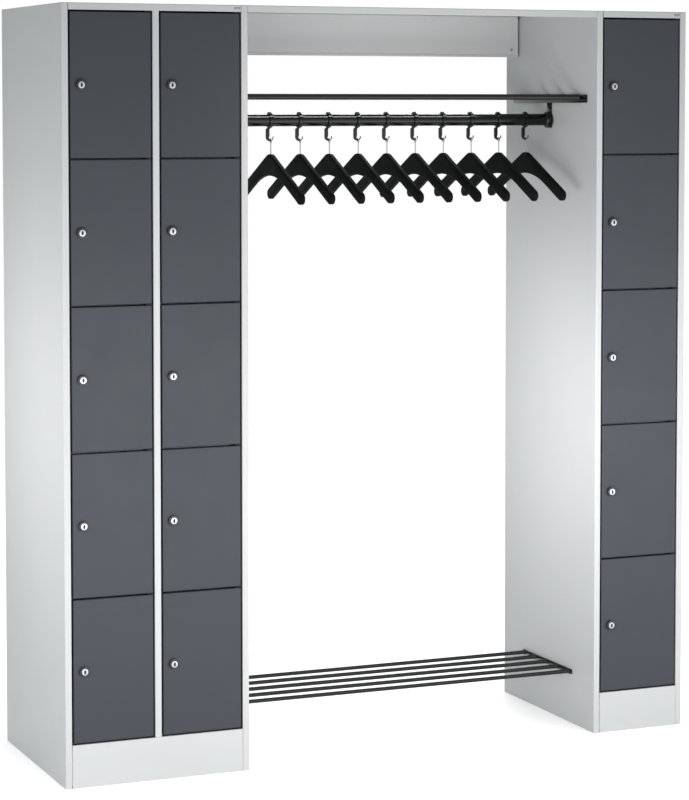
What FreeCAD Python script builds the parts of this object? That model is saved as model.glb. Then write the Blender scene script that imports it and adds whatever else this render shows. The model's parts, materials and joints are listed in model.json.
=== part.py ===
import FreeCAD, Part
import math
import os

from FreeCAD import Vector

# A cloakroom unit: two sheet-steel lockers with an open coat bay between them.
# All lengths are in millimetres. The front faces -Y and +Z is up.

# Overall sizes
HEIGHT = 1800.0
DEPTH = 500.0
LEFT_WIDTH = 450.0
BAY_WIDTH = 920.0
RIGHT_WIDTH = 250.0
LEFT_COLUMNS = 2
RIGHT_COLUMNS = 1
ROWS = 5

# Folded sheet
SHEET = 1.0
BEND = 1.0
BEND_STEPS = 2
SEAM = 0.5
FIT = 0.05
OVERRUN = 5.0

# Carcass
POST_WIDTH = 16.0
POST_DEPTH = 20.0
POST_LIP = 10.0
REAR_FLANGE = 14.0
HEADER_HEIGHT = 16.0
PLINTH_HEIGHT = 100.0
PLINTH_FOOT = 24.0
SHELF_SETBACK = 2.0
SHELF_FRONT = 18.0
SHELF_LIP = 10.0
SHELF_REAR = 14.0
WALL_HOLE_DIAMETER = 9.0
WALL_HOLE_DROP = 60.0

# Doors
DOOR_GAP = 4.0
DOOR_DEPTH = 18.0
DOOR_EDGE = 1.5
DOOR_LIP = 10.0
STIFFENER_WIDTH = 30.0
STIFFENER_DEPTH = 11.0
STIFFENER_FLANGE = 12.0
STIFFENER_MARGIN = 26.0

# Pivot rod through the right-hand edge of every column of doors
PIVOT_FROM_EDGE = 8.0
PIVOT_FROM_FRONT = 7.0
PIVOT_DIAMETER = 6.0
PIVOT_HOLE_SIDES = 6
LUG_THICKNESS = 2.0
LUG_WIDTH = 11.0
LUG_END = 3.0

# Cam locks near the left-hand edge of every door
LOCK_FROM_EDGE = 25.0
COLLAR_DIAMETER = 23.0
COLLAR_HEIGHT = 6.5
PLUG_DIAMETER = 17.0
PLUG_SIDES = 12
PLUG_THICKNESS = 2.2
PLUG_END_PLAY = 0.3
SHAFT_DIAMETER = 10.0
SHAFT_SIDES = 6
SHAFT_CLEARANCE = 0.3
KEYWAY_WIDTH = 2.6
KEYWAY_HEIGHT = 10.0
KEYWAY_DEPTH = 1.6
CAM_WIDTH = 16.0
CAM_REACH = 34.0
CAM_THICKNESS = 2.5
CAM_CLEARANCE = 1.5
CAM_ROUND_STEPS = 1

# Coat bay: rear fascia, hat shelf, coat rail and shoe rack
FASCIA_DROP = 107.0
FASCIA_SETBACK = 63.0
FASCIA_LIP = 14.0
FASCIA_CHAMFER = 8.0
HAT_DROP = 212.0
HAT_RODS = 5
HAT_ROD_DIAMETER = 14.0
HAT_PITCH = 80.0
HAT_OVERHANG = 40.0
HAT_BAR_HEIGHT = 20.0
HAT_BAR_SAG = 4.0
SHOE_HEIGHT = 132.0
SHOE_RODS = 5
SHOE_ROD_DIAMETER = 10.0
SHOE_PITCH = 62.0
SHOE_OVERHANG = 11.0
SHOE_BAR_HEIGHT = 12.0
BAR_THICKNESS = 5.0
ROD_SIDES = 16
RAIL_DROP = 57.0
RAIL_DIAMETER = 30.0
DROP_BAR_WIDTH = 20.0
DROP_BAR_TAIL = 21.0
SOCKET_DIAMETER = 42.0
SOCKET_LENGTH = 7.0

# Sliding hooks on the coat rail
HOOKS = 10
HOOK_LEFT_MARGIN = 151.0
HOOK_RIGHT_MARGIN = 72.0
RING_WIDTH = 11.0
RING_WALL = 4.0
RING_CLEARANCE = 0.4
RING_SIDES = 10
HOOK_THICKNESS = 4.0
HOOK_DROP = 51.0
HOOK_RADIUS = 10.0
HOOK_THROAT_RADIUS = 5.0
HOOK_THROAT_OFFSET = 3.2
HOOK_THROAT_DROP = 1.0
HOOK_TIP_RISE = 1.4
HOOK_SHANK_WIDTH = 9.5
HOOK_SHOULDER = 2.4
HOOK_BOWL_STEPS = 7
HOOK_THROAT_STEPS = 5

# Coat hangers
WIRE_SIZE = 2.5
EYE_BORE = 4.0
EYE_STEPS = 2
EYE_CLEARANCE = 0.9
WIRE_LENGTH = 28.0
WIRE_SEAT = 12.0
HANGER_SPAN = 430.0
HANGER_THICKNESS = 14.0
HANGER_ARM = 27.0
HANGER_SLOPE_DEGREES = 26.0
CROWN_RADIUS = 70.0
ARCH_RADIUS = 255.0
HANGER_ROUND_STEPS = 3

# Places worked out from the sizes
LOCK_PROUD = COLLAR_HEIGHT + PLUG_END_PLAY + PLUG_THICKNESS
FRONT_Y = (LOCK_PROUD - DEPTH) / 2
BACK_Y = FRONT_Y + DEPTH
MIDDLE_Y = FRONT_Y + DEPTH / 2
BEHIND_POST_Y = FRONT_Y + POST_DEPTH
SHELF_FRONT_Y = BEHIND_POST_Y + SHELF_SETBACK
BACK_INSIDE_Y = BACK_Y - 2 * SHEET
LEFT_X = -(LEFT_WIDTH + BAY_WIDTH + RIGHT_WIDTH) / 2
BAY_LEFT_X = LEFT_X + LEFT_WIDTH
BAY_RIGHT_X = BAY_LEFT_X + BAY_WIDTH
UNDER_TOP_Z = HEIGHT - SHEET
UNDER_HEADER_Z = HEIGHT - HEADER_HEIGHT
DOOR_HEIGHT = (UNDER_HEADER_Z - PLINTH_HEIGHT - (ROWS + 1) * DOOR_GAP) / ROWS
DOOR_PITCH = DOOR_HEIGHT + DOOR_GAP
HAT_Z = HEIGHT - HAT_DROP
HAT_BAR_TOP_Z = HAT_Z - HAT_BAR_SAG + HAT_BAR_HEIGHT / 2
RAIL_Z = HAT_Z - RAIL_DROP
RAIL_RADIUS = RAIL_DIAMETER / 2
HOOK_PITCH = (BAY_WIDTH - HOOK_LEFT_MARGIN - HOOK_RIGHT_MARGIN) / (HOOKS - 1)
HOOK_BOWL_Z = RAIL_Z - HOOK_DROP + HOOK_RADIUS
THROAT_Z = HOOK_BOWL_Z - HOOK_THROAT_DROP
EYE_REACH = math.sqrt((EYE_BORE - EYE_CLEARANCE) ** 2 - (HOOK_THICKNESS / 2) ** 2)
EYE_Z = THROAT_Z - HOOK_THROAT_RADIUS - EYE_REACH
HANGER_TOP_Z = EYE_Z - EYE_BORE - WIRE_LENGTH

LOCKERS = [
    (LEFT_X, LEFT_WIDTH, LEFT_COLUMNS),
    (BAY_RIGHT_X, RIGHT_WIDTH, RIGHT_COLUMNS),
]


def plan(point):
    return Vector(point.x, point.y, 0)


def side(point):
    return Vector(0, point.x, point.y)


def front(point):
    return Vector(point.x, 0, point.y)


def line(start, end):
    return Part.LineSegment(start, end).toShape()


def arc(start, middle, end):
    return Part.Arc(start, middle, end).toShape()


def chords(curve, steps):
    """Straight edges along a curve, in equal steps."""
    points = curve.discretize(steps + 1)
    return [line(start, end) for start, end in zip(points, points[1:])]


def outline_face(corners, radii, to_space, steps=0):
    """A flat face inside the corners, each rounded by its radius, in chords if steps are given."""
    rounds = []
    for index, corner in enumerate(corners):
        after = corners[(index + 1) % len(corners)]
        incoming = (corner - corners[index - 1]).normalize()
        outgoing = (after - corner).normalize()
        half_turn = incoming.getAngle(outgoing) / 2
        reach = radii[index] * math.tan(half_turn)
        inward = (outgoing - incoming).normalize()
        bulge = radii[index] * (1 / math.cos(half_turn) - 1)
        rounds.append((corner - incoming * reach, corner + inward * bulge, corner + outgoing * reach))
    edges = []
    for index, (first, middle, last) in enumerate(rounds):
        if radii[index] > 0:
            bend = arc(to_space(first), to_space(middle), to_space(last))
            edges += chords(bend, steps) if steps else [bend]
        following = rounds[(index + 1) % len(rounds)][0]
        if not last.isEqual(following, FIT):
            edges.append(line(to_space(last), to_space(following)))
    return Part.Face(Part.Wire(edges))


def folded_face(places, to_space, soft):
    """The cut section of a folded sheet, with the places on its right-hand face.

    The bends whose numbers are in soft are round and the others are sharp.
    """
    corners = [Vector(u, v, 0) for u, v in places]
    ahead = [(b - a).normalize() for a, b in zip(corners, corners[1:])]
    left = [Vector(-d.y, d.x, 0) for d in ahead]
    near_radii = [0] * len(corners)
    far_radii = [0] * len(corners)
    far = [corners[0] + left[0] * SHEET]
    for index in range(1, len(ahead)):
        before, after = left[index - 1], left[index]
        far.append(corners[index] + (before + after) * (SHEET / (1 + before.dot(after))))
        if index in soft:
            turns_left = ahead[index - 1].cross(ahead[index]).z > 0
            near_radii[index] = BEND + SHEET if turns_left else BEND
            far_radii[index] = BEND if turns_left else BEND + SHEET
    far.append(corners[-1] + left[-1] * SHEET)
    return outline_face(corners + far[::-1], near_radii + far_radii[::-1], to_space, BEND_STEPS)


def folded_upright(places, bottom, top, soft=()):
    face = folded_face(places, plan, soft)
    return face.extrude(Vector(0, 0, top - bottom)).translated(Vector(0, 0, bottom))


def folded_beam(places, left, right, soft=()):
    face = folded_face(places, side, soft)
    return face.extrude(Vector(right - left, 0, 0)).translated(Vector(left, 0, 0))


def block(low, high):
    size = high - low
    return Part.makeBox(size.x, size.y, size.z, low)


def around(radius, sides):
    """Reach of the corners of a regular outline whose flats clear a radius."""
    return radius / math.cos(math.pi / sides)


def prism(sides, reach, start, along):
    """A regular prism along a line from a start, its corners at a reach from that line."""
    corners = Part.makeCircle(reach, start, along).discretize(sides + 1)
    return Part.Face(Part.makePolygon(corners[:-1] + corners[:1])).extrude(along)


SHAFT_BORE_REACH = around(SHAFT_DIAMETER / 2 + SHAFT_CLEARANCE, SHAFT_SIDES)


def save(name, solids):
    Part.makeCompound(solids).exportStep("parts/" + name + ".step")


def column_openings(locker_left, locker_width, columns):
    """Left edge and width of each opening between two posts."""
    width = (locker_width - (columns + 1) * POST_WIDTH) / columns
    return [(locker_left + POST_WIDTH + n * (width + POST_WIDTH), width) for n in range(columns)]


def row_bottom(row):
    """Lower edge of a door, counted from the top row."""
    return UNDER_HEADER_Z - DOOR_GAP - DOOR_HEIGHT - row * DOOR_PITCH


# Side panels carry the front posts, partitions divide the left locker into columns
def side_panel(x):
    return folded_upright(
        [
            (x + REAR_FLANGE, BACK_Y),
            (x, BACK_Y),
            (x, FRONT_Y),
            (x + POST_WIDTH, FRONT_Y),
            (x + POST_WIDTH, BEHIND_POST_Y),
            (x + POST_WIDTH - POST_LIP, BEHIND_POST_Y),
        ],
        0,
        UNDER_TOP_Z,
        soft=(2, 3),
    )


def partition(x):
    web = x - SHEET / 2
    panel = folded_upright(
        [
            (web, BACK_INSIDE_Y),
            (web, BEHIND_POST_Y),
            (x - POST_WIDTH / 2, BEHIND_POST_Y),
            (x - POST_WIDTH / 2, FRONT_Y),
            (x + POST_WIDTH / 2, FRONT_Y),
            (x + POST_WIDTH / 2, BEHIND_POST_Y),
            (x + SHEET / 2 + SEAM, BEHIND_POST_Y),
        ],
        PLINTH_HEIGHT,
        UNDER_TOP_Z,
        soft=(3, 4),
    )
    header_notch = block(
        Vector(x - POST_WIDTH, FRONT_Y - OVERRUN, UNDER_HEADER_Z),
        Vector(x + POST_WIDTH, BEHIND_POST_Y + BEND + SHEET, HEIGHT),
    )
    return panel.cut(header_notch)


def upright_panels():
    panels = []
    for left, width, columns in LOCKERS:
        panel = side_panel(left)
        panels += [panel, panel.mirror(Vector(left + width / 2, 0, 0), Vector(1, 0, 0))]
        for opening_left, _ in column_openings(left, width, columns)[1:]:
            panels.append(partition(opening_left - POST_WIDTH / 2))
    return panels


def back_panel(left, width):
    sheet = block(
        Vector(left + SHEET, BACK_INSIDE_Y, 0),
        Vector(left + width - SHEET, BACK_Y - SHEET, UNDER_TOP_Z),
    )
    hole_start = Vector(left + width / 2, BACK_INSIDE_Y - OVERRUN, HEIGHT - WALL_HOLE_DROP)
    hole = Part.makeCylinder(WALL_HOLE_DIAMETER / 2, 2 * OVERRUN, hole_start, Vector(0, 1, 0))
    return sheet.cut(hole)


def roof(left, right):
    """A folded roof with the header strip at its front edge."""
    return folded_beam(
        [
            (BACK_Y, HEIGHT - REAR_FLANGE),
            (BACK_Y, HEIGHT),
            (FRONT_Y, HEIGHT),
            (FRONT_Y, UNDER_HEADER_Z),
            (BEHIND_POST_Y, UNDER_HEADER_Z),
        ],
        left,
        right,
        soft=(2,),
    )


def locker_top(left, width):
    """The roof of a locker, its folds cut away over the posts and side walls."""
    top = roof(left, left + width)
    for x in (left, left + width):
        over_post = block(
            Vector(x - POST_WIDTH - SEAM, FRONT_Y - OVERRUN, UNDER_HEADER_Z - OVERRUN),
            Vector(x + POST_WIDTH + SEAM, BACK_Y + OVERRUN, UNDER_TOP_Z),
        )
        top = top.cut(over_post)
    return top


def plinth(left, width):
    return folded_beam(
        [
            (BEHIND_POST_Y, PLINTH_HEIGHT),
            (FRONT_Y, PLINTH_HEIGHT),
            (FRONT_Y, 0),
            (FRONT_Y + PLINTH_FOOT, 0),
        ],
        left + POST_WIDTH + SEAM,
        left + width - POST_WIDTH - SEAM,
        soft=(1,),
    )


def shelf(left, right, height):
    """A shelf folded down at its front and rear, with its upper face at a height."""
    return folded_beam(
        [
            (BACK_INSIDE_Y, height - SHELF_REAR),
            (BACK_INSIDE_Y, height),
            (SHELF_FRONT_Y, height),
            (SHELF_FRONT_Y, height - SHELF_FRONT),
            (SHELF_FRONT_Y + SHELF_LIP, height - SHELF_FRONT),
        ],
        left,
        right,
    )


def shelves():
    """One floor for each locker and a shelf behind every gap between two doors."""
    solids = []
    for left, width, columns in LOCKERS:
        right = left + width
        solids.append(shelf(left + SHEET, right - SHEET, PLINTH_HEIGHT))
        openings = column_openings(left, width, columns)
        webs = [start - POST_WIDTH / 2 for start, _ in openings[1:]]
        starts = [left + SHEET] + [x + SHEET / 2 for x in webs]
        ends = [x - SHEET / 2 for x in webs] + [right - SHEET]
        for start, end in zip(starts, ends):
            for row in range(ROWS - 1):
                solids.append(shelf(start, end, row_bottom(row)))
    return solids


# Doors are shallow trays with lips turned in behind, each column on one pivot rod
def pivot_x(opening_left, opening_width):
    return opening_left + opening_width - DOOR_GAP - PIVOT_FROM_EDGE


def lock_x(opening_left):
    return opening_left + DOOR_GAP + LOCK_FROM_EDGE


def door_pan(opening_left, opening_width, bottom):
    low = Vector(opening_left + DOOR_GAP, FRONT_Y, bottom)
    high = Vector(opening_left + opening_width - DOOR_GAP, FRONT_Y + DOOR_DEPTH, bottom + DOOR_HEIGHT)
    sheet = Vector(SHEET, SHEET, SHEET)
    lip = Vector(DOOR_LIP, -OVERRUN, DOOR_LIP)
    solid = block(low, high)
    front_edges = [edge for edge in solid.Edges if edge.BoundBox.YMax < FRONT_Y + SHEET]
    pan = solid.makeChamfer(DOOR_EDGE, front_edges)
    pan = pan.cut(block(low + sheet, high - sheet))
    window_low = Vector(low.x, high.y - OVERRUN, low.z) + Vector(DOOR_LIP, 0, DOOR_LIP)
    pan = pan.cut(block(window_low, high - lip))
    pivot = Vector(pivot_x(opening_left, opening_width), FRONT_Y + PIVOT_FROM_FRONT, bottom - OVERRUN)
    pivot_reach = around(PIVOT_DIAMETER / 2 + FIT, PIVOT_HOLE_SIDES)
    pivot_hole = prism(PIVOT_HOLE_SIDES, pivot_reach, pivot, Vector(0, 0, DOOR_HEIGHT + 2 * OVERRUN))
    lock = Vector(lock_x(opening_left), FRONT_Y - OVERRUN, bottom + DOOR_HEIGHT / 2)
    lock_hole = prism(SHAFT_SIDES, SHAFT_BORE_REACH, lock, Vector(0, 2 * OVERRUN, 0))
    return pan.cut(pivot_hole).cut(lock_hole)


def door_stiffener(opening_left, opening_width, bottom):
    """A hat section welded upright on the inner face of the door."""
    middle = opening_left + opening_width / 2
    seat = FRONT_Y + SHEET
    half = STIFFENER_WIDTH / 2
    return folded_upright(
        [
            (middle - half - STIFFENER_FLANGE, seat),
            (middle - half, seat),
            (middle - half, seat + STIFFENER_DEPTH),
            (middle + half, seat + STIFFENER_DEPTH),
            (middle + half, seat),
            (middle + half + STIFFENER_FLANGE, seat),
        ],
        bottom + STIFFENER_MARGIN,
        bottom + DOOR_HEIGHT - STIFFENER_MARGIN,
    )


def lock_collar(place):
    """The collar on the face of the door, bored for the shaft of the plug."""
    along = Vector(0, COLLAR_HEIGHT, 0)
    collar = Part.makeCylinder(COLLAR_DIAMETER / 2, COLLAR_HEIGHT, place - along, along)
    return collar.cut(prism(SHAFT_SIDES, SHAFT_BORE_REACH, place - along, along))


def lock_plug(place):
    """The turning face with its keyway, on a shaft as far as the face that carries the cam."""
    axis = Vector(0, 1, 0)
    back = -COLLAR_HEIGHT - PLUG_END_PLAY
    plug = prism(PLUG_SIDES, PLUG_DIAMETER / 2, Vector(0, -LOCK_PROUD, 0), axis * PLUG_THICKNESS)
    shaft_length = POST_DEPTH + CAM_CLEARANCE - back
    shaft = prism(SHAFT_SIDES, SHAFT_DIAMETER / 2, Vector(0, back, 0), axis * shaft_length)
    keyway = block(
        Vector(-KEYWAY_WIDTH / 2, -LOCK_PROUD - OVERRUN, -KEYWAY_HEIGHT / 2),
        Vector(KEYWAY_WIDTH / 2, -LOCK_PROUD + KEYWAY_DEPTH, KEYWAY_HEIGHT / 2),
    )
    return plug.fuse(shaft).cut(keyway).translated(place)


def lock_cam(place):
    """The cam hangs straight down when the door is free to open."""
    half = CAM_WIDTH / 2
    corners = [
        Vector(-half, half, 0),
        Vector(-half, -CAM_REACH, 0),
        Vector(half, -CAM_REACH, 0),
        Vector(half, half, 0),
    ]
    outline = outline_face(corners, [half] * len(corners), front, CAM_ROUND_STEPS)
    cam = outline.extrude(Vector(0, CAM_THICKNESS, 0))
    return cam.translated(place + Vector(0, POST_DEPTH + CAM_CLEARANCE, 0))


def pivot_lug(post_x, height):
    """A lug on the post, in the gap between two doors, slotted from behind for the pivot rod."""
    half = LUG_WIDTH / 2
    slot = PIVOT_DIAMETER / 2 + FIT
    reach = DOOR_GAP + PIVOT_FROM_EDGE
    end = reach + slot + LUG_END
    corners = [
        Vector(0, -half, 0),
        Vector(0, half, 0),
        Vector(slot - reach, half, 0),
        Vector(slot - reach, -slot, 0),
        Vector(-slot - reach, -slot, 0),
        Vector(-slot - reach, half, 0),
        Vector(-end, half, 0),
        Vector(-end, -half, 0),
    ]
    plate = outline_face(corners, [0] * len(corners), plan).extrude(Vector(0, 0, LUG_THICKNESS))
    return plate.translated(Vector(post_x, FRONT_Y + PIVOT_FROM_FRONT, height - LUG_THICKNESS / 2))


def door_pivots():
    """A rod from plinth to header for each column, and the lugs that steady it."""
    solids = []
    for left, width, columns in LOCKERS:
        for opening_left, opening_width in column_openings(left, width, columns):
            foot = Vector(pivot_x(opening_left, opening_width), FRONT_Y + PIVOT_FROM_FRONT, PLINTH_HEIGHT)
            solids.append(Part.makeCylinder(PIVOT_DIAMETER / 2, UNDER_HEADER_Z - PLINTH_HEIGHT, foot))
            for row in range(ROWS + 1):
                gap_middle = UNDER_HEADER_Z - DOOR_GAP / 2 - row * DOOR_PITCH
                solids.append(pivot_lug(opening_left + opening_width, gap_middle))
    return solids


# Coat bay
def rear_fascia():
    """A shallow tray across the back of the bay, open above and towards the front."""
    back = BACK_Y - FASCIA_SETBACK
    bottom = HEIGHT - FASCIA_DROP
    low = Vector(BAY_LEFT_X, back - FASCIA_LIP, bottom)
    tray = block(low, Vector(BAY_RIGHT_X, back, UNDER_TOP_Z))
    lower_corners = [
        edge
        for edge in tray.Edges
        if edge.BoundBox.ZMax < bottom + SHEET and edge.BoundBox.XLength < SHEET
    ]
    tray = tray.makeChamfer(FASCIA_CHAMFER, lower_corners)
    hollow_low = low + Vector(SHEET, -OVERRUN, SHEET)
    hollow = block(hollow_low, Vector(BAY_RIGHT_X - SHEET, back - SHEET, HEIGHT))
    hollow_corners = [
        edge
        for edge in hollow.Edges
        if edge.BoundBox.ZMax < bottom + 2 * SHEET and edge.BoundBox.XLength < SHEET
    ]
    return tray.cut(hollow.makeChamfer(FASCIA_CHAMFER, hollow_corners))


def end_bar(x, height, bar_height, length):
    """A flat bar on edge along the wall."""
    return block(
        Vector(x, MIDDLE_Y - length / 2, height - bar_height / 2),
        Vector(x + BAR_THICKNESS, MIDDLE_Y + length / 2, height + bar_height / 2),
    )


def rod_rack(rods, diameter, pitch, height, bar_height, bar_level, overhang):
    """Two end bars against the bay's walls with rods between them."""
    length = (rods - 1) * pitch + 2 * overhang
    solids = [
        end_bar(BAY_LEFT_X, bar_level, bar_height, length),
        end_bar(BAY_RIGHT_X - BAR_THICKNESS, bar_level, bar_height, length),
    ]
    for n in range(rods):
        y = MIDDLE_Y + (n - (rods - 1) / 2) * pitch
        start = Vector(BAY_LEFT_X + BAR_THICKNESS, y, height)
        along = Vector(BAY_WIDTH - 2 * BAR_THICKNESS, 0, 0)
        solids.append(prism(ROD_SIDES, diameter / 2, start, along))
    return solids


def hat_shelf():
    bar_level = HAT_BAR_TOP_Z - HAT_BAR_HEIGHT / 2
    return rod_rack(
        HAT_RODS, HAT_ROD_DIAMETER, HAT_PITCH, HAT_Z, HAT_BAR_HEIGHT, bar_level, HAT_OVERHANG
    )


def shoe_rack():
    return rod_rack(
        SHOE_RODS, SHOE_ROD_DIAMETER, SHOE_PITCH, SHOE_HEIGHT, SHOE_BAR_HEIGHT, SHOE_HEIGHT, SHOE_OVERHANG
    )


def drop_bar(x):
    """A flat bar down from the hat shelf's end bar, which carries the rail's socket."""
    half = DROP_BAR_WIDTH / 2
    return block(
        Vector(x, MIDDLE_Y - half, RAIL_Z - DROP_BAR_TAIL),
        Vector(x + BAR_THICKNESS, MIDDLE_Y + half, HAT_BAR_TOP_Z - HAT_BAR_HEIGHT),
    )


def rail_piece(diameter, left, right):
    start = Vector(left, MIDDLE_Y, RAIL_Z)
    return Part.makeCylinder(diameter / 2, right - left, start, Vector(1, 0, 0))


def coat_rail():
    left = BAY_LEFT_X + BAR_THICKNESS
    right = BAY_RIGHT_X - BAR_THICKNESS
    return [
        rail_piece(RAIL_DIAMETER, left + SOCKET_LENGTH, right - SOCKET_LENGTH),
        rail_piece(SOCKET_DIAMETER, left, left + SOCKET_LENGTH),
        rail_piece(SOCKET_DIAMETER, right - SOCKET_LENGTH, right),
        drop_bar(BAY_LEFT_X),
        drop_bar(right),
    ]


# Hooks slide on the rail, and a hanger swings from each
def rail_hook(x):
    """A ring round the rail with a hook below it that opens to the right."""
    inner = RAIL_RADIUS + RING_CLEARANCE
    outer = inner + RING_WALL
    half = RING_WIDTH / 2
    ring_start = Vector(-half, MIDDLE_Y, RAIL_Z)
    ring_along = Vector(RING_WIDTH, 0, 0)
    ring = prism(RING_SIDES, around(outer, RING_SIDES), ring_start, ring_along)
    ring = ring.cut(prism(RING_SIDES, around(inner, RING_SIDES), ring_start, ring_along))
    throat = HOOK_THROAT_RADIUS
    shank_right = HOOK_SHANK_WIDTH - HOOK_RADIUS
    tip_z = HOOK_BOWL_Z + HOOK_TIP_RISE
    tip_outer = math.sqrt(HOOK_RADIUS ** 2 - HOOK_TIP_RISE ** 2)
    tip_inner = HOOK_THROAT_OFFSET + math.sqrt(throat ** 2 - (tip_z - THROAT_Z) ** 2)
    throat_top = THROAT_Z + math.sqrt(throat ** 2 - (shank_right - HOOK_THROAT_OFFSET) ** 2)
    ring_join = RAIL_Z - inner - RING_WALL / 2
    shoulder = RAIL_Z - outer - HOOK_SHOULDER
    bowl_left = Vector(-HOOK_RADIUS, 0, HOOK_BOWL_Z)
    bowl_bottom = Vector(0, 0, HOOK_BOWL_Z - HOOK_RADIUS)
    tip_right = Vector(tip_outer, 0, tip_z)
    tip_left = Vector(tip_inner, 0, tip_z)
    throat_bottom = Vector(HOOK_THROAT_OFFSET, 0, THROAT_Z - throat)
    shank_foot = Vector(shank_right, 0, throat_top)
    shank_head = Vector(shank_right, 0, shoulder)
    ring_right = Vector(half, 0, ring_join)
    ring_left = Vector(-half, 0, ring_join)
    shoulder_left = Vector(-HOOK_RADIUS, 0, shoulder)
    edges = [line(shoulder_left, bowl_left)]
    edges += chords(arc(bowl_left, bowl_bottom, tip_right), HOOK_BOWL_STEPS)
    edges.append(line(tip_right, tip_left))
    edges += chords(arc(tip_left, throat_bottom, shank_foot), HOOK_THROAT_STEPS)
    edges.append(line(shank_foot, shank_head))
    edges.append(line(shank_head, ring_right))
    edges.append(line(ring_right, ring_left))
    edges.append(line(ring_left, shoulder_left))
    plate = Part.Face(Part.Wire(edges)).extrude(Vector(0, HOOK_THICKNESS, 0))
    hook = plate.translated(Vector(0, MIDDLE_Y - HOOK_THICKNESS / 2, 0))
    return ring.fuse(hook).removeSplitter().translated(Vector(x, 0, 0))


def eye_plate(half, steps):
    """A square plate with a round top, about the line that the hanger swings on."""
    corners = [
        Vector(-half, -half, 0),
        Vector(half, -half, 0),
        Vector(half, half, 0),
        Vector(-half, half, 0),
    ]
    return outline_face(corners, [0, 0, half, half], side, steps).extrude(Vector(WIRE_SIZE, 0, 0))


def hanger_wire(x):
    """An eye round the hook's bowl and a straight stem into the hanger."""
    half = WIRE_SIZE / 2
    eye = eye_plate(EYE_BORE + WIRE_SIZE, EYE_STEPS).cut(eye_plate(EYE_BORE, 0))
    eye = eye.translated(Vector(x - half, MIDDLE_Y, EYE_Z))
    stem = block(
        Vector(x - half, MIDDLE_Y - half, HANGER_TOP_Z - WIRE_SEAT),
        Vector(x + half, MIDDLE_Y + half, EYE_Z - EYE_BORE - half),
    )
    return eye.fuse(stem).removeSplitter()


def hanger_body(x):
    """Two sloping arms of one width over a wide arch, with round tips."""
    slope = math.radians(HANGER_SLOPE_DEGREES)
    half_span = HANGER_SPAN / 2
    crown_rise = CROWN_RADIUS * (1 / math.cos(slope) - 1)
    tip_top = Vector(half_span, crown_rise - half_span * math.tan(slope), 0)
    tip_bottom = tip_top - Vector(math.sin(slope), math.cos(slope), 0) * HANGER_ARM
    tip_radius = HANGER_ARM / 2 - FIT
    arms_meet = crown_rise - HANGER_ARM / math.cos(slope)
    corners = [
        Vector(0, crown_rise, 0),
        tip_top,
        tip_bottom,
        Vector(0, arms_meet, 0),
        Vector(-tip_bottom.x, tip_bottom.y, 0),
        Vector(-tip_top.x, tip_top.y, 0),
    ]
    radii = [CROWN_RADIUS, tip_radius, tip_radius, ARCH_RADIUS, tip_radius, tip_radius]
    outline = outline_face(corners, radii, side, HANGER_ROUND_STEPS)
    body = outline.extrude(Vector(HANGER_THICKNESS, 0, 0))
    body = body.translated(Vector(x - HANGER_THICKNESS / 2, MIDDLE_Y, HANGER_TOP_Z))
    half = WIRE_SIZE / 2 + FIT
    seat = block(
        Vector(x - half, MIDDLE_Y - half, HANGER_TOP_Z - WIRE_SEAT),
        Vector(x + half, MIDDLE_Y + half, HANGER_TOP_Z + OVERRUN),
    )
    return body.cut(seat)


def build():
    os.makedirs("parts", exist_ok=True)
    save("upright_panels", upright_panels())
    save("back_panels", [back_panel(left, width) for left, width, _ in LOCKERS])
    save("locker_tops", [locker_top(left, width) for left, width, _ in LOCKERS])
    save("plinths", [plinth(left, width) for left, width, _ in LOCKERS])
    save("compartment_shelves", shelves())
    save("door_pivots", door_pivots())
    save("bay_canopy", [roof(BAY_LEFT_X + SEAM, BAY_RIGHT_X - SEAM), rear_fascia()])
    save("hat_shelf", hat_shelf())
    save("coat_rail", coat_rail())
    save("shoe_rack", shoe_rack())

    columns = [opening for locker in LOCKERS for opening in column_openings(*locker)]
    for letter, (left, width) in zip("abc", columns):
        for row in range(ROWS):
            bottom = row_bottom(row)
            place = Vector(lock_x(left), FRONT_Y, bottom + DOOR_HEIGHT / 2)
            save(
                f"door_{letter}{row + 1}",
                [
                    door_pan(left, width, bottom),
                    door_stiffener(left, width, bottom),
                    lock_collar(place),
                ],
            )
            save(f"lock_{letter}{row + 1}", [lock_plug(place), lock_cam(place)])

    for n in range(HOOKS):
        x = BAY_LEFT_X + HOOK_LEFT_MARGIN + n * HOOK_PITCH
        hanger_x = x + HOOK_THROAT_OFFSET
        save(f"rail_hook_{n + 1:02d}", [rail_hook(x)])
        save(f"hanger_{n + 1:02d}", [hanger_wire(hanger_x), hanger_body(hanger_x)])


build()
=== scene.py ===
import json
import math

import bmesh
import bpy
from mathutils import Matrix, Vector


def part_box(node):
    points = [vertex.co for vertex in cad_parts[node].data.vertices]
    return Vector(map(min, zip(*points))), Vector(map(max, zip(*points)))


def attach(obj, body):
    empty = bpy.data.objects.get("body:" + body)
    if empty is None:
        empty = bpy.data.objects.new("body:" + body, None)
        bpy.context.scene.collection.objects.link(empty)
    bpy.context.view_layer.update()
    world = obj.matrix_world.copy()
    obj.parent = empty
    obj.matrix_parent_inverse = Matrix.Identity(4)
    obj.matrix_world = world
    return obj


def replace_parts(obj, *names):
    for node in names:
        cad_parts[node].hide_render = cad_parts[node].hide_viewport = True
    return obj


# Looks of a cloakroom unit: two sheet-steel lockers with an open coat bay between them.
# All lengths are in metres. The front faces -Y and +Z is up.

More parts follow.
